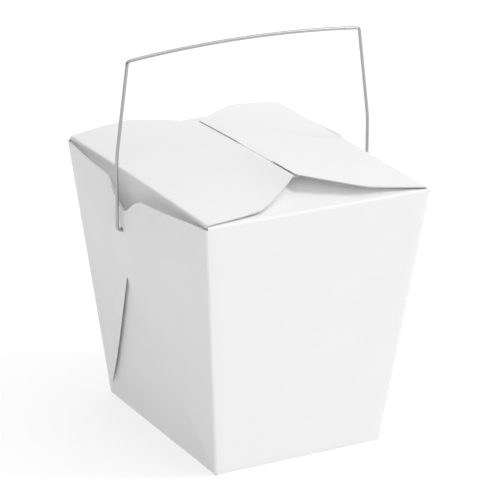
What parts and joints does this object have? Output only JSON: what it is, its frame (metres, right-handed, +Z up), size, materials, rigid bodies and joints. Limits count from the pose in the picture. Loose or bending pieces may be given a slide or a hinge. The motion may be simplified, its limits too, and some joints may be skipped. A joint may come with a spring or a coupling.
{
  "type": "noodle takeaway box",
  "caption": "Shut white paperboard noodle takeaway box: a tapered carton with folded gusset sides, lid flaps that meet along the middle, and a thin wire bail that swings.",
  "frame": {"origin": "middle of the base, on the surface it stands on", "axes": "+Z up; +X and -X out through the gusset sides that carry the bail's eyes; -Y out through the front panel"},
  "size_m": [0.1044, 0.111, 0.1479],
  "materials": {
    "paperboard": "satin",
    "wire": "satin"
  },
  "bodies": {
    "carton_body": {"carton": "paperboard"},
    "bail_body": {"wire_bail": "wire"}
  },
  "joints": [
    {"name": "bail_swing", "type": "hinge", "parent": "carton_body", "child": "bail_body", "pos_m": [0, 0, 0.0826], "axis": [1, 0, 0], "range_deg": [-125, 125]}
  ]
}
